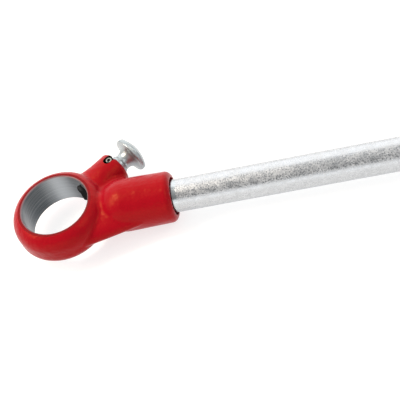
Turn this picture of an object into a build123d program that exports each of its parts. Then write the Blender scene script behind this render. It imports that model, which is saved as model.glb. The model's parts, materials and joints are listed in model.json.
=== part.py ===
from build123d import *
import os
from math import cos, radians, sin, sqrt, tan

# Ratchet handle of a hand pipe threader, in millimetres.
# The origin is the centre of the ring's bore, halfway between the ring's two rims.
# +Z is the bore's axis, and the handle points along +X.

# Ring of the casting
RING_BORE_R = 28.1
RING_HEIGHT = 30.0
RING_WALL = 10.8
BORE_CHAMFER = 0.8
TOP_RIM_WIDTH = 2.9
TOP_SHOULDER_HEIGHT = 13.0
BOTTOM_RIM_WIDTH = 3.6
BOTTOM_SHOULDER_HEIGHT = 10.0

# The handle, the neck and the pawl all lie in one plane, a little below the ring's middle
HANDLE_DROP = 2.7

# Neck, a web from inside the ring to inside the handle socket, a little less wide than either
NECK_ROOT_X = 12.0
NECK_ROOT_WIDTH_INSET = 3.6
NECK_ROOT_RIM_INSET = 0.7
NECK_MIDDLE_RIM_INSET = 1.1
NECK_TIP_OVERLAP = 16.0
NECK_TIP_WIDTH_INSET = 0.6
NECK_TIP_HEIGHT_SHARE = 0.372
NECK_FILLET = 6.0
RING_FILLET = 4.0

# Pipe and its socket
PIPE_R = 13.35
PIPE_WALL = 2.87
PIPE_END_X = 460.0
PIPE_REAM = 0.8
PIPE_FIT = 0.02
SOCKET_OFFSET = 16.2
SOCKET_LENGTH = 40.3
SOCKET_WALL = 8.15
SOCKET_DRAFT = 0.9
SOCKET_MOUTH_ROUND = 5.0
SEAT_INSET = 5.0
MOUTH_GAP = 1.95
MOUTH_DEPTH = 9.0

# Pawl boss, a stub on the ring whose axis points out from the ring's axis.
# Distances called "out" are measured along this axis from the ring's axis.
PAWL_ANGLE = 41.7
BOSS_WALL = 4.7
BOSS_LENGTH = 24.9
BOSS_ROUND = 4.5
BOSS_FILLET = 5.0
BOSS_ROOT_INSET = 7.8
BOSS_ROOT_FLARE = 6.3
BOSS_ROOT_RIM_INSET = 4.0
BOSS_FLARE_LENGTH = 21.0

# Pawl, its spring and their bores
PAWL_R = 10.0
PAWL_CLEARANCE = 0.05
PAWL_PROUD = 2.8
PAWL_BODY_LENGTH = 11.2
PAWL_EDGE_OFFSET = 5.0
PAWL_FACE_LENGTH = 5.7
PAWL_RAMP_ANGLE = 35.0
STEM_R = 4.2
STEM_END_INSET = 0.8
SPRING_ROOM = 15.5
SPRING_WIRE_R = 0.65
SPRING_CLEARANCE = 0.35
SPRING_END_GAP = 0.05
SPRING_TURNS = 3.5

# Knob
SHANK_R = 6.3
SHANK_CLEARANCE = 0.1
SHANK_LENGTH = 10.3
PRESS_CLEARANCE = 0.02
FLANGE_R = 8.0
FLANGE_GAP = 0.1
FLANGE_THICKNESS = 2.4
WAIST_R = 6.9
WAIST_LENGTH = 2.7
TRUMPET_R = 7.4
DISC_R = 15.3
DISC_THICKNESS = 3.8
DISC_ROUND = 0.8
CROWN_HEIGHT = 4.8

# Cross pin of the knob, and the slots that it rests in
PIN_R = 2.4
PIN_INSET = 5.1
PIN_SUNK = 1.3
PIN_WALL = 0.9
PIN_SLIT = 1.0
PIN_SLIT_ANGLE = 216.0
SLOT_GAP = 0.9
SLOT_BOTTOM_GAP = 2.2

ring_half = RING_HEIGHT / 2
ring_r = RING_BORE_R + RING_WALL
socket_r = PIPE_R + SOCKET_WALL
socket_mouth_r = socket_r - SOCKET_DRAFT
socket_dome_x = ring_r + SOCKET_OFFSET
socket_mouth_x = socket_dome_x + SOCKET_LENGTH
seat_x = socket_dome_x + SEAT_INSET
pawl_tip_out = RING_BORE_R - PAWL_PROUD
pawl_shoulder_out = pawl_tip_out + PAWL_BODY_LENGTH
boss_shoulder_out = pawl_shoulder_out + SPRING_ROOM
boss_r = PAWL_R + BOSS_WALL
boss_end_out = ring_r + BOSS_LENGTH
stem_end_out = boss_end_out - STEM_END_INSET
pin_out = boss_end_out - PIN_INSET
pawl_dir = Vector(cos(radians(PAWL_ANGLE)), sin(radians(PAWL_ANGLE)), 0)
pawl_across = Vector(-pawl_dir.Y, pawl_dir.X, 0)
handle_middle = Vector(0, 0, -HANDLE_DROP)
handle_axis = Axis(handle_middle, (1, 0, 0))
pawl_axis = Axis(handle_middle, pawl_dir)
ring_side = Plane(origin=(0, 0, 0), x_dir=(-1, 0, 0), z_dir=(0, 1, 0))
handle_side = Plane(origin=handle_middle, x_dir=(1, 0, 0), z_dir=(0, -1, 0))
pawl_side = Plane(origin=handle_middle, x_dir=pawl_dir, z_dir=(0, 0, 1))


def across_handle(x):
    """Plane square to the handle, with its own x across the handle and its own y up."""
    return Plane(origin=(x, 0, -HANDLE_DROP), x_dir=(0, 1, 0), z_dir=(1, 0, 0))


def across_pawl(out):
    """Plane square to the pawl, with its own x across the pawl and its own y up."""
    return Plane(origin=handle_middle + pawl_dir * out, x_dir=pawl_across, z_dir=pawl_dir)


# Ring: a barrel-sided disc, rounder above than below, bored at the end so that all is cut flush
top_rim_r = RING_BORE_R + TOP_RIM_WIDTH
bottom_rim_r = RING_BORE_R + BOTTOM_RIM_WIDTH
belt_top = ring_half - TOP_SHOULDER_HEIGHT
belt_bottom = -ring_half + BOTTOM_SHOULDER_HEIGHT
with BuildPart() as ring:
    with BuildSketch(ring_side):
        with BuildLine():
            Polyline((top_rim_r, ring_half), (0, ring_half), (0, -ring_half), (bottom_rim_r, -ring_half))
            TangentArc((ring_r, belt_top), (top_rim_r, ring_half), tangent=(0, 1))
            Line((ring_r, belt_top), (ring_r, belt_bottom))
            TangentArc((ring_r, belt_bottom), (bottom_rim_r, -ring_half), tangent=(0, -1))
        make_face()
    revolve(axis=Axis.Z)

# Neck: a flat, rounded web that narrows from the ring's full width to the socket's
neck_tip_x = socket_dome_x + NECK_TIP_OVERLAP
below_handle = ring_half - HANDLE_DROP
neck_root_half_width = ring_r - NECK_ROOT_WIDTH_INSET
neck_tip_half_width = socket_r - NECK_TIP_WIDTH_INSET
neck_sections = (
    (NECK_ROOT_X, neck_root_half_width, below_handle - NECK_ROOT_RIM_INSET),
    (
        (NECK_ROOT_X + neck_tip_x) / 2,
        (neck_root_half_width + neck_tip_half_width) / 2,
        below_handle - NECK_MIDDLE_RIM_INSET,
    ),
    (neck_tip_x, neck_tip_half_width, socket_r * NECK_TIP_HEIGHT_SHARE),
)
with BuildPart() as neck:
    for x, half_width, half_height in neck_sections:
        with BuildSketch(across_handle(x)):
            Ellipse(half_width, half_height)
    loft()

# Socket: a drafted barrel with a domed inner end and a rounded mouth
with BuildPart() as socket:
    with BuildSketch(handle_side):
        with BuildLine():
            Line((socket_dome_x, 0), (socket_mouth_x, 0))
            Line((socket_mouth_x, 0), (socket_mouth_x, socket_mouth_r))
            Line((socket_mouth_x, socket_mouth_r), (socket_dome_x, socket_r))
            RadiusArc((socket_dome_x, socket_r), (socket_dome_x - socket_r, 0), -socket_r)
            Line((socket_dome_x - socket_r, 0), (socket_dome_x, 0))
        make_face()
    revolve(axis=handle_axis)
    fillet(socket.faces().sort_by(Axis.X)[-1].edges(), radius=SOCKET_MOUTH_ROUND)

# Pawl boss: a round stub that widens and flattens towards the ring, so that it stays inside the
# ring's rim and flows into the ring's side
boss_flare = ((0, 1), (1 / 3, 0.45), (2 / 3, 0.11), (1, 0))
boss_root_out = ring_r - BOSS_ROOT_INSET
boss_round_out = boss_root_out + BOSS_FLARE_LENGTH
boss_root_flatness = boss_r - (ring_half - BOSS_ROOT_RIM_INSET)
with BuildPart() as boss:
    for along, share in boss_flare:
        with BuildSketch(across_pawl(boss_root_out + along * BOSS_FLARE_LENGTH)):
            Ellipse(boss_r + share * BOSS_ROOT_FLARE, boss_r - share * boss_root_flatness)
    loft()
    with BuildSketch(across_pawl(boss_round_out)):
        Circle(boss_r)
    extrude(amount=boss_end_out - boss_round_out)
    fillet(boss.faces().sort_by(pawl_axis)[-1].edges(), radius=BOSS_ROUND)

# The one casting: the forms are joined and blended, then machined
slot_half = PIN_R + SLOT_GAP
slot_bottom_out = pin_out - PIN_R - SLOT_BOTTOM_GAP
with BuildPart() as ratchet_head:
    add(neck.part)
    add(socket.part)
    fillet(ratchet_head.edges(Select.NEW), radius=NECK_FILLET)
    add(boss.part)
    boss_seams = ratchet_head.edges(Select.NEW)
    fillet(boss_seams.filter_by(lambda seam: seam.center().dot(pawl_across) < 0), radius=BOSS_FILLET)
    add(ring.part)
    fillet(ratchet_head.edges(Select.NEW), radius=RING_FILLET)
    # Ring bore, chamfered at both rims
    with BuildSketch(ring_side):
        Rectangle(RING_BORE_R, 2 * RING_HEIGHT, align=(Align.MIN, Align.CENTER))
        for rim in (ring_half, -ring_half):
            with Locations((RING_BORE_R, rim)):
                Rectangle(2 * BORE_CHAMFER / sqrt(2), 2 * BORE_CHAMFER / sqrt(2), rotation=45)
    revolve(axis=Axis.Z, mode=Mode.SUBTRACT)
    # Pawl bore from the ring's bore to its shoulder, and the smaller bore for the knob's shank
    with BuildSketch(across_pawl(0)):
        Circle(PAWL_R + PAWL_CLEARANCE)
    extrude(amount=boss_shoulder_out, mode=Mode.SUBTRACT)
    with BuildSketch(across_pawl(boss_shoulder_out)):
        Circle(SHANK_R + SHANK_CLEARANCE)
    extrude(amount=boss_end_out - boss_shoulder_out, mode=Mode.SUBTRACT)
    # Slots in the boss's upper and lower walls, round at the closed end
    with BuildSketch(pawl_side):
        with Locations((slot_bottom_out + slot_half, 0)):
            Circle(slot_half)
            Rectangle(boss_r, 2 * slot_half, align=(Align.MIN, Align.CENTER))
    extrude(amount=boss_r + 1, both=True, mode=Mode.SUBTRACT)
    # Pipe bore and its wider mouth
    with BuildSketch(across_handle(seat_x)):
        Circle(PIPE_R + PIPE_FIT)
    extrude(amount=socket_mouth_x - seat_x, mode=Mode.SUBTRACT)
    with BuildSketch(across_handle(socket_mouth_x - MOUTH_DEPTH)):
        Circle(PIPE_R + MOUTH_GAP)
    extrude(amount=MOUTH_DEPTH, mode=Mode.SUBTRACT)

# Handle: a length of pipe seated at the bottom of the socket, reamed at its free end
with BuildPart() as handle_pipe:
    with BuildSketch(across_handle(seat_x)):
        Circle(PIPE_R)
        Circle(PIPE_R - PIPE_WALL, mode=Mode.SUBTRACT)
    extrude(amount=PIPE_END_X - seat_x)
    chamfer(handle_pipe.faces().sort_by(Axis.X)[-1].edges(), length=PIPE_REAM)

# Pawl: a round plunger with a one-sided tooth, and a stem that carries the knob
pawl_face_out = pawl_tip_out + PAWL_FACE_LENGTH
ramp_drop = (PAWL_EDGE_OFFSET + PAWL_R) * tan(radians(PAWL_RAMP_ANGLE))
pin_hole_r = PIN_R + PRESS_CLEARANCE
with BuildPart() as pawl:
    with BuildSketch(pawl_side):
        with BuildLine():
            Polyline(
                (pawl_tip_out, 0),
                (stem_end_out, 0),
                (stem_end_out, STEM_R),
                (pawl_shoulder_out, STEM_R),
                (pawl_shoulder_out, PAWL_R),
                (pawl_tip_out, PAWL_R),
                close=True,
            )
        make_face()
    revolve(axis=pawl_axis)
    # What is cut away beside the tooth's edge: square on one side, a ramp on the other
    with BuildSketch(pawl_side):
        Polygon(
            (pawl_tip_out, PAWL_EDGE_OFFSET),
            (pawl_face_out, PAWL_EDGE_OFFSET),
            (pawl_face_out, PAWL_R + 1),
            (pawl_tip_out, PAWL_R + 1),
            align=None,
        )
        Polygon(
            (pawl_tip_out, PAWL_EDGE_OFFSET),
            (pawl_tip_out, -PAWL_R),
            (pawl_tip_out + ramp_drop, -PAWL_R),
            align=None,
        )
    extrude(amount=PAWL_R + 1, both=True, mode=Mode.SUBTRACT)
    with BuildSketch(Plane(origin=handle_middle + pawl_dir * pin_out)):
        Circle(pin_hole_r)
    extrude(amount=STEM_R, both=True, mode=Mode.SUBTRACT)

# Coil spring between the pawl's shoulder and the boss's
spring_start_out = pawl_shoulder_out + SPRING_WIRE_R + SPRING_END_GAP
spring_end_out = boss_shoulder_out - SPRING_WIRE_R - SPRING_END_GAP
spring_coil_r = PAWL_R - SPRING_CLEARANCE - SPRING_WIRE_R
with BuildPart() as pawl_spring:
    with BuildLine():
        coil = Helix(
            pitch=(spring_end_out - spring_start_out) / SPRING_TURNS,
            height=spring_end_out - spring_start_out,
            radius=spring_coil_r,
            center=handle_middle + pawl_dir * spring_start_out,
            direction=pawl_dir,
        )
    with BuildSketch(Plane(origin=coil @ 0, z_dir=coil % 0)):
        Circle(SPRING_WIRE_R)
    sweep(path=coil, is_frenet=True)

# Knob: a turned mushroom with a flange that stops on the boss, and a shank over the stem
flange_out = boss_end_out + FLANGE_GAP
shank_inner_out = flange_out - SHANK_LENGTH
waist_start = (flange_out + FLANGE_THICKNESS, FLANGE_R)
waist_end = (flange_out + FLANGE_THICKNESS + WAIST_LENGTH, WAIST_R)
disc_out = waist_end[0] + TRUMPET_R
crown_out = disc_out + DISC_THICKNESS
crown_radius = (DISC_R**2 + CROWN_HEIGHT**2) / (2 * CROWN_HEIGHT)
with BuildPart() as knob:
    with BuildSketch(pawl_side):
        with BuildLine():
            Polyline((shank_inner_out, 0), (shank_inner_out, SHANK_R), (flange_out, SHANK_R))
            Polyline((flange_out, SHANK_R), (flange_out, FLANGE_R), waist_start)
            TangentArc(waist_end, waist_start, tangent=(-1, 0))
            TangentArc(waist_end, (disc_out, WAIST_R + TRUMPET_R), tangent=(1, 0))
            Polyline((disc_out, WAIST_R + TRUMPET_R), (disc_out, DISC_R), (crown_out, DISC_R))
            RadiusArc((crown_out, DISC_R), (crown_out + CROWN_HEIGHT, 0), crown_radius)
            Line((crown_out + CROWN_HEIGHT, 0), (shank_inner_out, 0))
        make_face()
    revolve(axis=pawl_axis)
    disc_edges = knob.edges().filter_by(GeomType.CIRCLE)
    fillet(disc_edges.filter_by(lambda edge: abs(edge.radius - DISC_R) < 1e-6), radius=DISC_ROUND)
    with BuildSketch(across_pawl(shank_inner_out)):
        Circle(STEM_R + PRESS_CLEARANCE)
    extrude(amount=stem_end_out - shank_inner_out + PRESS_CLEARANCE, mode=Mode.SUBTRACT)
    with BuildSketch(Plane(origin=handle_middle + pawl_dir * pin_out)):
        Circle(pin_hole_r)
    extrude(amount=SHANK_R, both=True, mode=Mode.SUBTRACT)

# Slotted spring pin through the shank and the stem, its ends lying in the boss's slots
pin_half = boss_r - PIN_SUNK
slit_dir = pawl_dir.rotate(Axis.Z, PIN_SLIT_ANGLE)
with BuildPart() as knob_pin:
    with BuildSketch(Plane(origin=handle_middle + pawl_dir * pin_out, x_dir=slit_dir)):
        Circle(PIN_R)
        Circle(PIN_R - PIN_WALL, mode=Mode.SUBTRACT)
        Rectangle(PIN_R, PIN_SLIT, align=(Align.MIN, Align.CENTER), mode=Mode.SUBTRACT)
    extrude(amount=pin_half, both=True)

os.makedirs("parts", exist_ok=True)
ratchet_head.part.label = "ratchet_head"
export_step(ratchet_head.part, "parts/ratchet_head.step")
handle_pipe.part.label = "handle_pipe"
export_step(handle_pipe.part, "parts/handle_pipe.step")
pawl.part.label = "pawl"
export_step(pawl.part, "parts/pawl.step")
pawl_spring.part.label = "pawl_spring"
export_step(pawl_spring.part, "parts/pawl_spring.step")
knob.part.label = "knob"
export_step(knob.part, "parts/knob.step")
knob_pin.part.label = "knob_pin"
export_step(knob_pin.part, "parts/knob_pin.step")
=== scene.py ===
import json
from math import radians

import bpy
from mathutils import Matrix, Quaternion, Vector


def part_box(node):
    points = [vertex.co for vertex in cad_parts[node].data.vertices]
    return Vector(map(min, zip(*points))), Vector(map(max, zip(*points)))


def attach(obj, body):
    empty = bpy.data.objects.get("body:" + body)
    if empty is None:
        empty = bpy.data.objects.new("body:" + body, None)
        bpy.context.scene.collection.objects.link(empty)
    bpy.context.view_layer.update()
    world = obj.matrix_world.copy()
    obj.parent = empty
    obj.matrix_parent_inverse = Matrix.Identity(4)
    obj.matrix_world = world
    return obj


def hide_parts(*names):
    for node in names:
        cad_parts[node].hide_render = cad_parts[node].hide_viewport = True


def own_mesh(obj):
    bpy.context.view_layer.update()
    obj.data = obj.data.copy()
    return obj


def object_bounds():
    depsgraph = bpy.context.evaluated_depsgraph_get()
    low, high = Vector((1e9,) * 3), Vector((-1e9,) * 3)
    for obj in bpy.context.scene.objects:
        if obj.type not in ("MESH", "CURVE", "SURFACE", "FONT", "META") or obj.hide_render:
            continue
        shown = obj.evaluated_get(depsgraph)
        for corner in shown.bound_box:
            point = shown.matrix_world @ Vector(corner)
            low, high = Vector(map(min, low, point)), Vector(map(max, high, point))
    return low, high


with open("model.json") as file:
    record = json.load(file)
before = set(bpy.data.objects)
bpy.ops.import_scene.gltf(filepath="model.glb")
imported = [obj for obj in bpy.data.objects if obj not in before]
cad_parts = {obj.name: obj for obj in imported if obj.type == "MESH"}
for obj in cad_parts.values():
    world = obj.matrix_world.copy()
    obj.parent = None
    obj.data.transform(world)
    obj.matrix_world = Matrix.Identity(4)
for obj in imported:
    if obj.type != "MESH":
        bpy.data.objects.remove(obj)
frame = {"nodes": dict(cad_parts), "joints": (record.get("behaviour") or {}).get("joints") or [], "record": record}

cad_low, cad_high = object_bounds()
scene = bpy.context.scene


# Camera: a long lens from above the handle's near side, rolled so that the handle rises to the right.
# The pipe runs out of the picture, as in the photograph.
camera_place = Vector((0.2573, -0.4823, 0.6019))
camera_aim = Vector((-0.18069, 0.60647, -0.77431))
camera_roll = radians(23.5)
camera_data = bpy.data.cameras.new("photo_camera")
camera_data.sensor_width = 36.0
camera_data.lens = 89.1
camera_data.clip_start = 0.01
camera_data.clip_end = 20.0
camera = bpy.data.objects.new("photo_camera", camera_data)
scene.collection.objects.link(camera)
camera.location = camera_place
camera.rotation_mode = "QUATERNION"
camera.rotation_quaternion = Quaternion(camera_aim, camera_roll) @ camera_aim.to_track_quat("-Z", "Y")
scene.camera = camera


# Studio floor: one wide sheet of white paper, just under the socket. It gives off some light of its own, so
# that it comes out white and the handle's shadow stays faint.
floor_reach = 15.0
floor_height = cad_low.z - 0.0003
paper_grey, paper_white = (0.38, 0.38, 0.38, 1), (0.40, 0.40, 0.40, 1)


def fill_inputs(tree, node, inputs):
    """Puts a value or a link into each of these inputs of a node."""
    for key, value in inputs.items():
        if isinstance(value, bpy.types.NodeSocket):
            tree.links.new(value, node.inputs[key])
        else:
            node.inputs[key].default_value = value


def add_node(tree, kind, inputs, **settings):
    """A new node in a tree, with these inputs and settings."""
    made = tree.nodes.new(kind)
    for name, value in settings.items():
        setattr(made, name, value)
    fill_inputs(tree, made, inputs)
    return made


def lay_out(tree):
    """Sets a tree's nodes in columns, each to the left of the nodes that it feeds."""
    column_width, row_height = 220, 260
    columns = {node.name: 0 for node in tree.nodes}
    for _ in range(len(columns)):
        for link in tree.links:
            feeder, fed = link.from_node.name, link.to_node.name
            columns[feeder] = max(columns[feeder], columns[fed] + 1)
    rows = {}
    for node in tree.nodes:
        column = columns[node.name]
        row = rows.get(column, 0)
        node.location = (-column * column_width, -row * row_height)
        rows[column] = row + 1


def new_finish(name):
    """A material with a Principled shader, as (material, tree, shader, its Object coordinates)."""
    finish = bpy.data.materials.new(name)
    finish.use_nodes = True
    tree = finish.node_tree
    shader = tree.nodes["Principled BSDF"]
    here = add_node(tree, "ShaderNodeTexCoord", {}).outputs["Object"]
    return finish, tree, shader, here


def give_finish(piece, finish):
    """The piece wears this finish alone."""
    lay_out(finish.node_tree)
    piece.data.materials.clear()
    piece.data.materials.append(finish)


def stretched(tree, here, stretch):
    """Coordinates that draw a pattern out along the directions where stretch is small."""
    return add_node(tree, "ShaderNodeVectorMath", {0: here, 1: stretch}, operation="MULTIPLY").outputs[0]


def noise(tree, here, scale, detail, stretch=(1, 1, 1)):
    """Soft noise, with about scale grains to a metre before it is stretched."""
    inputs = {"Vector": stretched(tree, here, stretch), "Scale": scale, "Detail": detail}
    return add_node(tree, "ShaderNodeTexNoise", inputs).outputs["Fac"]


def blend_colours(tree, share, first, second):
    """The first colour where share is 0, the second where it is 1."""
    return add_node(tree, "ShaderNodeMix", {0: share, 6: first, 7: second}, data_type="RGBA").outputs[2]


floor_corners = [(-floor_reach, -floor_reach), (floor_reach, -floor_reach),
                 (floor_reach, floor_reach), (-floor_reach, floor_reach)]
floor_mesh = bpy.data.meshes.new("paper_floor")
floor_mesh.from_pydata([(x, y, floor_height) for x, y in floor_corners], [], [(0, 1, 2, 3)])
floor = bpy.data.objects.new("paper_floor", floor_mesh)
scene.collection.objects.link(floor)
paper, tree, shader, here = new_finish("white_paper")
fill_inputs(tree, shader, {
    "Base Color": blend_colours(tree, noise(tree, here, scale=60.0, detail=4.0), paper_grey, paper_white),
    "Roughness": 0.95,
    "Specular IOR Level": 0.2,
    "Emission Color": (1, 1, 1, 1),
    "Emission Strength": 0.72,
})
give_finish(floor, paper)


# Light: a broad softbox behind and above the handle, two small warm ones on the left for the enamel's
# highlights, and weak ones on the right and low in front. The surround is white, but dimmer high in front,
# which leaves the darker stripe along the middle of the pipe.
dim_front, pale_back, pale_horizon = 0.25, 0.78, 0.85
warm_light, amber_light = (1.0, 0.89, 0.76), (1.0, 0.80, 0.60)


def along(tree, here, way):
    """How far a point lies along a direction."""
    made = add_node(tree, "ShaderNodeVectorMath", {0: here, 1: way}, operation="DOT_PRODUCT")
    return made.outputs["Value"]


def ramp(tree, value, begins, ends, low=0.0, high=1.0):
    """A number that goes evenly from low to high while the value goes from begins to ends."""
    inputs = {"Value": value, "From Min": begins, "From Max": ends, "To Min": low, "To Max": high}
    return add_node(tree, "ShaderNodeMapRange", inputs).outputs["Result"]


def blend_numbers(tree, share, first, second):
    """The first number where share is 0, the second where it is 1."""
    return add_node(tree, "ShaderNodeMix", {0: share, 2: first, 3: second}).outputs[0]


def softbox(name, place, aim, size, power, colour=(1, 1, 1)):
    """A rectangular soft light at a place, facing a point."""
    data = bpy.data.lights.new(name, "AREA")
    data.color = colour
    data.shape = "RECTANGLE"
    data.size, data.size_y = size
    data.energy = power
    light = bpy.data.objects.new(name, data)
    scene.collection.objects.link(light)
    light.location = place
    light.rotation_euler = (Vector(aim) - Vector(place)).to_track_quat("-Z", "Y").to_euler()


scene.view_settings.view_transform = "Standard"
world = bpy.data.worlds.new("studio")
scene.world = world
world.use_nodes = True
surround = world.node_tree
way_out = add_node(surround, "ShaderNodeTexCoord", {}).outputs["Generated"]
backward = along(surround, way_out, (0, 1, 0))
upward = along(surround, way_out, (0, 0, 1))
overhead = ramp(surround, backward, begins=-0.9, ends=0.3, low=dim_front, high=pale_back)
near_horizon = ramp(surround, upward, begins=0.02, ends=0.2, low=1.0, high=0.0)
fill_inputs(surround, surround.nodes["Background"], {
    "Color": (1, 1, 1, 1),
    "Strength": blend_numbers(surround, near_horizon, overhead, pale_horizon),
})
lay_out(surround)

softbox("back_softbox", place=(0.15, 1.1, 0.75), aim=(0.12, 0, 0), size=(2.2, 1.5), power=10.5)
softbox("key_softbox", place=(-0.5, 0.14, 0.95), aim=(0.05, 0, 0), size=(0.24, 0.36), power=7.3,
        colour=warm_light)
softbox("left_softbox", place=(-0.75, -0.1, 0.75), aim=(0, 0, 0), size=(0.40, 0.40), power=4.5,
        colour=amber_light)
softbox("front_softbox", place=(-0.1, -1.2, 0.25), aim=(0.1, 0, 0), size=(1.8, 0.6), power=3.8)
softbox("side_softbox", place=(0.9, -0.25, 1.0), aim=(0.05, 0, 0), size=(0.5, 0.5), power=2.5)


# Ratchet head: one iron casting in glossy red enamel over a slightly grainy sand-cast skin. The ring's bore
# and chamfers are turned after painting, and are bare iron, with bands of painted reflection round the bore's
# wall and a painted red reflection on the chamfers. The flat of its rim is a deeper red, as painted shade, the
# pawl's bore and the pin's slots are painted near-black as painted shade, and the socket's mouth is red inside.
head = frame["nodes"]["ratchet_head"]
pull = next(joint for joint in frame["joints"] if joint["name"] == "knob_pull")
pawl_way = Vector(pull["axis"])
pawl_across = Vector((-pawl_way.y, pawl_way.x, 0))
pipe_low, pipe_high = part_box("handle_pipe")
handle_height = (pipe_low.z + pipe_high.z) / 2
millimetre = 0.001
mount_sizes = {mount["name"]: mount["dims"] for mount in frame["record"]["mounts"]}
bore_radius = mount_sizes["die_head_bore"]["r_mm"] * millimetre
ring_top = mount_sizes["die_head_bore"]["length_mm"] / 2 * millimetre
bore_wall_radius = bore_radius + 0.00004
turned_radius = bore_radius + 0.0008
rim_flat_radius = bore_radius + 0.0030
rim_flat_height = ring_top - 0.00006
pawl_bore_radius = 0.01010
pawl_bore_start, pawl_bore_end = 0.020, 0.0632
slot_round_centre = 0.0574
slot_half_width = 0.0034
mouth_radius = 0.0154
mouth_inner_x = 0.084

enamel_deep, enamel_bright = (0.290, 0.0017, 0.0092, 1), (0.350, 0.0029, 0.0116, 1)
# Painted shade: the rim's flat is given a deeper red for the dim light that it catches.
enamel_rim_painted_shade = (0.18, 0.0010, 0.0078, 1)
enamel_in_mouth = (0.26, 0.004, 0.009, 1)
# Painted shade: near-black for the pawl's bore and the pin's slots.
painted_shade_black = (0.012, 0.006, 0.007, 1)
# Grey iron tinted red, a painted reflection of the enamel on the turned chamfers.
chamfer_iron_red_reflection = (0.34, 0.20, 0.21, 1)
# The bore's darkest and brightest iron; the spread between them is painted reflection bands with turning marks.
bore_dark, bore_bright = (0.018, 0.025, 0.031, 1), (0.47, 0.495, 0.515, 1)
reflection_band_stretch, mark_stretch = (1, 1, 0.2), (14, 14, 2600)
reflection_band_share, mark_share, bore_darkening = 0.74, 0.70, -0.18
enamel_roughness, turned_roughness = (0.25, 0.37), (0.24, 0.42)
chamfer_roughness, recess_roughness = 0.62, 0.75
grain_relief, swell_relief, turned_relief = 0.035, 0.65, 0.012
enamel_glint, bare_glint = (1.0, 0.47, 0.13, 1), (1, 1, 1, 1)


def number(tree, operation, a, b=0.0, c=0.0):
    """The result of one arithmetic step on two numbers, or on three for MULTIPLY_ADD."""
    return add_node(tree, "ShaderNodeMath", {0: a, 1: b, 2: c}, operation=operation).outputs[0]


def share_below(tree, value, limit, blur):
    """1 where a value is below a limit, 0 where it is above by more than blur."""
    return ramp(tree, value, limit, limit + blur, 1.0, 0.0)


def reach_of(tree, first, second):
    """Distance from an axis, given the two offsets from it."""
    pair = add_node(tree, "ShaderNodeCombineXYZ", {"X": first, "Y": second}).outputs[0]
    return add_node(tree, "ShaderNodeVectorMath", {0: pair}, operation="LENGTH").outputs["Value"]


def bumps(tree, height, strength, distance):
    """The surface's direction, roughened by a height that counts in units of distance."""
    bump = add_node(tree, "ShaderNodeBump", {"Strength": strength, "Distance": distance, "Height": height})
    return bump.outputs["Normal"]


enamel, tree, shader, here = new_finish("red_enamel_on_iron")
x_here, y_here, z_here = add_node(tree, "ShaderNodeSeparateXYZ", {"Vector": here}).outputs
out_here = along(tree, here, pawl_way)
across_here = along(tree, here, pawl_across)
above_handle = number(tree, "SUBTRACT", z_here, handle_height)

ring_reach = reach_of(tree, x_here, y_here)
bare = share_below(tree, ring_reach, turned_radius, blur=0.00015)
on_wall = share_below(tree, ring_reach, bore_wall_radius, blur=0.00008)
in_rim = share_below(tree, ring_reach, rim_flat_radius, blur=0.0002)
# The rim's flat, which gets the painted shade.
rim_painted_shade_share = number(tree, "MULTIPLY", in_rim, number(tree, "GREATER_THAN", z_here, rim_flat_height))

past_start = number(tree, "GREATER_THAN", out_here, pawl_bore_start)
before_end = number(tree, "LESS_THAN", out_here, pawl_bore_end)
pawl_reach = reach_of(tree, across_here, above_handle)
near_pawl_axis = share_below(tree, pawl_reach, pawl_bore_radius, blur=0.00003)
in_pawl_bore = number(tree, "MULTIPLY", near_pawl_axis, number(tree, "MULTIPLY", past_start, before_end))
before_round = number(tree, "MAXIMUM", number(tree, "SUBTRACT", slot_round_centre, out_here), 0.0)
in_slot = share_below(tree, reach_of(tree, before_round, across_here), slot_half_width, blur=0.00012)
near_pipe_axis = share_below(tree, reach_of(tree, y_here, above_handle), mouth_radius, blur=0.0001)
in_mouth = number(tree, "MULTIPLY", near_pipe_axis, number(tree, "GREATER_THAN", x_here, mouth_inner_x))
# The pawl's bore and the slots get painted shade; the socket's mouth keeps its red.
recess_shade_and_mouth = number(tree, "MAXIMUM", in_pawl_bore, number(tree, "MAXIMUM", in_slot, in_mouth))

skin_grain = noise(tree, here, scale=1100.0, detail=3.0)
skin_swell = noise(tree, here, scale=165.0, detail=3.0)
paint_flow = noise(tree, here, scale=38.0, detail=2.0)
turning_marks = noise(tree, here, scale=1.0, detail=3.0, stretch=mark_stretch)
# Painted reflection: dark and light bands round the bore's wall.
bore_painted_reflection_bands = add_node(tree, "ShaderNodeTexWave", {
    "Vector": stretched(tree, here, reflection_band_stretch),
    "Scale": 8.3,
    "Distortion": 1.5,
    "Detail": 2.0,
    "Detail Scale": 4.0,
    "Phase Offset": 3.3,
}).outputs["Fac"]
marks_shade = number(tree, "MULTIPLY_ADD", turning_marks, mark_share, bore_darkening)
# The bore's tone: painted reflection bands over turning marks.
bore_reflection_and_marks = number(tree, "MULTIPLY_ADD", bore_painted_reflection_bands, reflection_band_share, marks_shade)

red = blend_colours(tree, paint_flow, enamel_deep, enamel_bright)
# The rim's flat painted darker, as painted shade.
red = blend_colours(tree, rim_painted_shade_share, red, enamel_rim_painted_shade)
bore_wall = blend_colours(tree, bore_reflection_and_marks, bore_dark, bore_bright)
# The chamfers take the iron with its painted red reflection.
turned_iron = blend_colours(tree, on_wall, chamfer_iron_red_reflection, bore_wall)
surface_colour = blend_colours(tree, bare, red, turned_iron)
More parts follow.
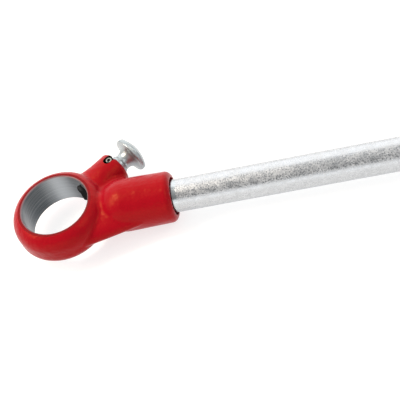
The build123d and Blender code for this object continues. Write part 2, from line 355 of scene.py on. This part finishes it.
# Near-black painted shade in the pawl's bore and slots, red in the socket's mouth.
recess_shade_and_mouth_colour = blend_colours(tree, in_mouth, painted_shade_black, enamel_in_mouth)
enamel_gloss = blend_numbers(tree, skin_grain, *enamel_roughness)
wall_gloss = blend_numbers(tree, turning_marks, *turned_roughness)
iron_gloss = blend_numbers(tree, on_wall, chamfer_roughness, wall_gloss)
surface_gloss = blend_numbers(tree, bare, enamel_gloss, iron_gloss)
swells = number(tree, "MULTIPLY", skin_swell, swell_relief)
skin_relief = number(tree, "MULTIPLY_ADD", skin_grain, grain_relief, swells)
marks_relief = number(tree, "MULTIPLY", turning_marks, turned_relief)
relief = blend_numbers(tree, bare, skin_relief, marks_relief)
fill_inputs(tree, shader, {
    "Base Color": blend_colours(tree, recess_shade_and_mouth, surface_colour, recess_shade_and_mouth_colour),
    "Metallic": number(tree, "SUBTRACT", bare, number(tree, "MULTIPLY", bare, recess_shade_and_mouth)),
    "Roughness": blend_numbers(tree, recess_shade_and_mouth, surface_gloss, recess_roughness),
    "Normal": bumps(tree, relief, strength=1.0, distance=0.001),
    "Specular IOR Level": 0.17,
    "Specular Tint": blend_colours(tree, bare, enamel_glint, bare_glint),
})
give_finish(head, enamel)


# Handle: a length of galvanised steel pipe, screwed into the socket. Its zinc is bright and finely speckled,
# smooth next to the socket and dull inside. The free end is cut bare.
pipe = frame["nodes"]["handle_pipe"]
collar_end_x = 0.0993
cut_end_x = pipe_high.x - 0.0008
pipe_inside_radius = mount_sizes["handle_pipe_bore"]["r_mm"] * millimetre + 0.00022
zinc_dark, zinc_bright = (0.45, 0.465, 0.48, 1), (0.62, 0.635, 0.655, 1)
collar_zinc = (0.50, 0.535, 0.55, 1)
inside_zinc = (0.20, 0.20, 0.205, 1)
cut_steel = (0.62, 0.62, 0.63, 1)
speckle_share, spangle_share = 0.55, 0.45
third_of_each = (0.33, 0.33, 0.33)
zinc_roughness, collar_roughness, inside_roughness = (0.25, 0.52), 0.22, 0.62
bright_metal, frosted_metal = 1.0, 0.55
speckle_relief, line_relief = 0.08, 0.012

zinc, tree, shader, here = new_finish("galvanised_zinc")
x_here, y_here, z_here = add_node(tree, "ShaderNodeSeparateXYZ", {"Vector": here}).outputs
above_handle = number(tree, "SUBTRACT", z_here, handle_height)
on_collar = share_below(tree, x_here, collar_end_x, blur=0.0006)
on_cut = number(tree, "GREATER_THAN", x_here, cut_end_x)
inside = share_below(tree, reach_of(tree, y_here, above_handle), pipe_inside_radius, blur=0.0001)

speckle = noise(tree, here, scale=950.0, detail=1.5)
blotch = noise(tree, here, scale=160.0, detail=3.0)
draw_lines = noise(tree, here, scale=1.0, detail=2.0, stretch=(30, 900, 900))
spangle = add_node(tree, "ShaderNodeTexVoronoi", {"Vector": here, "Scale": 420.0}).outputs["Color"]
spangle_tone = along(tree, spangle, third_of_each)
clear_speckle = ramp(tree, speckle, begins=0.38, ends=0.63)
frosted = number(tree, "MULTIPLY", clear_speckle, ramp(tree, blotch, begins=0.3, ends=0.6, low=0.15))
spangles = number(tree, "MULTIPLY", spangle_tone, spangle_share)
tone = number(tree, "MULTIPLY_ADD", clear_speckle, speckle_share, spangles)

speckled_zinc = blend_colours(tree, tone, zinc_dark, zinc_bright)
outer_zinc = blend_colours(tree, on_collar, speckled_zinc, collar_zinc)
pipe_wall = blend_colours(tree, inside, outer_zinc, inside_zinc)
speckled_gloss = blend_numbers(tree, frosted, *zinc_roughness)
outer_gloss = blend_numbers(tree, on_collar, speckled_gloss, collar_roughness)
outer_metal = blend_numbers(tree, frosted, bright_metal, frosted_metal)
line_height = number(tree, "MULTIPLY", draw_lines, line_relief)
speckle_height = number(tree, "MULTIPLY_ADD", speckle, speckle_relief, line_height)
relief = blend_numbers(tree, on_collar, speckle_height, line_height)
fill_inputs(tree, shader, {
    "Base Color": blend_colours(tree, on_cut, pipe_wall, cut_steel),
    "Metallic": blend_numbers(tree, on_collar, outer_metal, bright_metal),
    "Roughness": blend_numbers(tree, inside, outer_gloss, inside_roughness),
    "Normal": bumps(tree, relief, strength=1.0, distance=0.001),
})
give_finish(pipe, zinc)


# Pawl: a turned and milled plunger of tool steel, hardened and black with oil, and made blacker still as painted
# shade.
# Its tooth stands a little into the ring's bore, and the top of its tip is painted paler as painted light, where
# it faces up.
pawl = frame["nodes"]["pawl"]
lit_tip_out = 0.0262
lit_from_height, lit_full_height = handle_height + 0.003, handle_height + 0.0055
# Oiled black steel, darkened further as painted shade.
oiled_dark_and_shade, oiled_light_and_shade = (0.0015, 0.0016, 0.0018, 1), (0.004, 0.0042, 0.0045, 1)
# Painted light: a paler grey on the top of the tip, where light falls.
tip_top_painted_light = (0.055, 0.057, 0.060, 1)
oiled_roughness = (0.45, 0.65)

black_steel_and_shade, tree, shader, here = new_finish("black_oiled_steel_and_shade")
smears = noise(tree, here, scale=300.0, detail=3.0)
machining = noise(tree, here, scale=1400.0, detail=2.0)
at_tip = share_below(tree, along(tree, here, pawl_way), lit_tip_out, blur=0.0015)
on_top = ramp(tree, along(tree, here, (0, 0, 1)), lit_from_height, lit_full_height)
# The top of the tip, which gets the painted light.
lit_tip_top = number(tree, "MULTIPLY", at_tip, on_top)
oiled_steel_and_shade = blend_colours(tree, smears, oiled_dark_and_shade, oiled_light_and_shade)
fill_inputs(tree, shader, {
    "Base Color": blend_colours(tree, lit_tip_top, oiled_steel_and_shade, tip_top_painted_light),
    "Metallic": 0.0,
    "Roughness": blend_numbers(tree, smears, *oiled_roughness),
    "Normal": bumps(tree, machining, strength=0.35, distance=0.0001),
    "Specular IOR Level": 0.06,
})
give_finish(pawl, black_steel_and_shade)


# Pawl spring: a compression spring wound from hard-drawn wire. It lies in the boss, between the pawl's
# shoulder and the boss's own. The real one closes up as the knob is pulled; this one is made at one length.
wire_radius = 0.00065
coil_radius = 0.0090
coil_turns = 3.5
spring_room = 0.0155
spring_room_end = pull["deforming_nodes"][0]["fixed_end_out_m"]
spring_room_start = spring_room_end - spring_room
spring_gap = wire_radius + 0.00005
points_per_turn, points_round_wire = 48, 12
wire_dark, wire_bright = (0.28, 0.27, 0.26, 1), (0.46, 0.45, 0.44, 1)
wire_roughness = (0.25, 0.4)

spring_wire, tree, shader, here = new_finish("spring_wire")
wire_tone = noise(tree, here, scale=900.0, detail=2.0)
fill_inputs(tree, shader, {
    "Base Color": blend_colours(tree, wire_tone, wire_dark, wire_bright),
    "Metallic": 1.0,
    "Roughness": blend_numbers(tree, wire_tone, *wire_roughness),
})


def new_geometry_tree(name, sizes):
    """A Geometry Nodes tree with a number input for each size, as (tree, inputs, their identifiers)."""
    shape = bpy.data.node_groups.new(name, "GeometryNodeTree")
    shape.interface.new_socket("Geometry", in_out="OUTPUT", socket_type="NodeSocketGeometry")
    identifiers = {}
    for size in sizes:
        socket = shape.interface.new_socket(size, in_out="INPUT", socket_type="NodeSocketFloat")
        identifiers[size] = socket.identifier
    return shape, shape.nodes.new("NodeGroupInput").outputs, identifiers


def end_geometry_tree(shape, geometry, finish):
    """Ends a Geometry Nodes tree: its instances made real, and wearing this finish."""
    realized = add_node(shape, "GeometryNodeRealizeInstances", {"Geometry": geometry})
    real = realized.outputs[0]
    painted = add_node(shape, "GeometryNodeSetMaterial", {"Geometry": real, "Material": finish})
    add_node(shape, "NodeGroupOutput", {"Geometry": painted.outputs[0]})
    lay_out(shape)


def mesh_from_tree(name, shape, identifiers, sizes, finish):
    """The result of a Geometry Nodes tree with these sizes, as a plain mesh object at the origin."""
    carrier = bpy.data.objects.new(name + "_carrier", bpy.data.meshes.new(name + "_carrier"))
    scene.collection.objects.link(carrier)
    modifier = carrier.modifiers.new(name, "NODES")
    modifier.node_group = shape
    for size, value in sizes.items():
        modifier[identifiers[size]] = value
    bpy.context.view_layer.update()
    mesh = bpy.data.meshes.new_from_object(carrier.evaluated_get(bpy.context.evaluated_depsgraph_get()))
    bpy.data.objects.remove(carrier)
    piece = bpy.data.objects.new(name, mesh)
    scene.collection.objects.link(piece)
    give_finish(piece, finish)
    return piece


coil_sizes = {"Turns": coil_turns, "Coil radius": coil_radius, "Wire radius": wire_radius,
              "Length": spring_room - 2 * spring_gap}
coil_shape, given, identifiers = new_geometry_tree("coil_spring", coil_sizes)
helix = add_node(coil_shape, "GeometryNodeCurveSpiral",
                 {"Resolution": points_per_turn, "Rotations": given["Turns"],
                  "Start Radius": given["Coil radius"], "End Radius": given["Coil radius"],
                  "Height": given["Length"]})
wire_section = add_node(coil_shape, "GeometryNodeCurvePrimitiveCircle",
                        {"Resolution": points_round_wire, "Radius": given["Wire radius"]})
wire = add_node(coil_shape, "GeometryNodeCurveToMesh",
                {"Curve": helix.outputs[0], "Profile Curve": wire_section.outputs[0], "Fill Caps": True})
smoothed = add_node(coil_shape, "GeometryNodeSetShadeSmooth", {"Geometry": wire.outputs[0]})
end_geometry_tree(coil_shape, smoothed.outputs[0], spring_wire)
spring = mesh_from_tree("coiled_pawl_spring", coil_shape, identifiers, coil_sizes, spring_wire)
pawl_axis_start = Vector((0, 0, handle_height))
pawl_frame = Matrix.Translation(pawl_axis_start) @ pawl_way.to_track_quat("Z", "Y").to_matrix().to_4x4()
spring.data.transform(pawl_frame @ Matrix.Translation((0, 0, spring_room_start + spring_gap)))
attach(spring, "handle")
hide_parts("pawl_spring")
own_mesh(spring)


# Knob: a mushroom turned from bar, bright plated, and pinned to the pawl's stem.
# Fine turning marks run round it, and a knurl is rolled round the rim of its disc for grip.
knob = frame["nodes"]["knob"]
disc_radius = 0.0153
disc_middle_out = 0.0783
ridge_sunk = 0.00003
plating_grey, plating_bright = (0.36, 0.398, 0.413, 1), (0.45, 0.492, 0.508, 1)
plating_roughness = (0.28, 0.42)

plating, tree, shader, here = new_finish("bright_plating")
out_here = along(tree, here, pawl_way)
only_out = add_node(tree, "ShaderNodeCombineXYZ", {"X": out_here}).outputs[0]
turned = noise(tree, only_out, scale=2600.0, detail=2.0)
plating_blush = noise(tree, here, scale=120.0, detail=2.0)
fill_inputs(tree, shader, {
    "Base Color": blend_colours(tree, plating_blush, plating_grey, plating_bright),
    "Metallic": 0.8,
    "Roughness": blend_numbers(tree, turned, *plating_roughness),
    "Normal": bumps(tree, turned, strength=0.25, distance=0.00005),
})
give_finish(knob, plating)

knurl_sizes = {"Ridges": 84.0, "Disc radius": disc_radius - ridge_sunk, "Ridge half width": 0.00062,
               "Ridge length": 0.0019, "Flatness": 0.42, "Slant": radians(28)}
knurl_shape, given, identifiers = new_geometry_tree("rim_knurl", knurl_sizes)
ridge_count = add_node(knurl_shape, "FunctionNodeFloatToInt", {0: given["Ridges"]})
rim_line = add_node(knurl_shape, "GeometryNodeCurvePrimitiveCircle",
                    {"Resolution": ridge_count.outputs[0], "Radius": given["Disc radius"]})
rim_points = add_node(knurl_shape, "GeometryNodeCurveToPoints", {"Curve": rim_line.outputs[0]},
                      mode="EVALUATED")
ridge = add_node(knurl_shape, "GeometryNodeMeshCylinder",
                 {"Vertices": 4, "Radius": given["Ridge half width"], "Depth": given["Ridge length"]})
lean = add_node(knurl_shape, "ShaderNodeCombineXYZ", {"X": given["Slant"]})
flatter = add_node(knurl_shape, "ShaderNodeCombineXYZ", {"X": given["Flatness"], "Y": 1.0, "Z": 1.0})
leaning = add_node(knurl_shape, "GeometryNodeTransform",
                   {"Geometry": ridge.outputs[0], "Rotation": lean.outputs[0], "Scale": flatter.outputs[0]})
outward = add_node(knurl_shape, "GeometryNodeInputPosition", {})
facing = add_node(knurl_shape, "FunctionNodeAlignEulerToVector", {"Vector": outward.outputs[0]},
                  axis="X", pivot_axis="Z")
ridges = add_node(knurl_shape, "GeometryNodeInstanceOnPoints",
                  {"Points": rim_points.outputs[0], "Instance": leaning.outputs[0],
                   "Rotation": facing.outputs[0]})
end_geometry_tree(knurl_shape, ridges.outputs[0], plating)
knurl = mesh_from_tree("knob_rim_knurl", knurl_shape, identifiers, knurl_sizes, plating)
knurl.data.transform(pawl_frame @ Matrix.Translation((0, 0, disc_middle_out)))
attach(knurl, "plunger")


# Cross pin: a slotted spring pin, rolled from strip, that holds the knob on the stem.
# Its ends lie in the boss's slots. The sheared face of the upper one is a little duller than its sides.
pin = frame["nodes"]["knob_pin"]
pin_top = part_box("knob_pin")[1].z
sheared_depth = 0.00004
rolled_dark, rolled_bright = (0.20, 0.19, 0.18, 1), (0.34, 0.33, 0.32, 1)
sheared_steel = (0.30, 0.31, 0.28, 1)
side_roughness, sheared_roughness = 0.4, 0.5

pin_steel, tree, shader, here = new_finish("spring_pin_steel")
below_top = number(tree, "SUBTRACT", pin_top, along(tree, here, (0, 0, 1)))
sheared = share_below(tree, below_top, sheared_depth, blur=0.0001)
rolled = noise(tree, here, scale=700.0, detail=2.0, stretch=(1, 1, 0.1))
rolled_steel = blend_colours(tree, rolled, rolled_dark, rolled_bright)
fill_inputs(tree, shader, {
    "Base Color": blend_colours(tree, sheared, rolled_steel, sheared_steel),
    "Metallic": 1.0,
    "Roughness": blend_numbers(tree, sheared, side_roughness, sheared_roughness),
})
give_finish(pin, pin_steel)
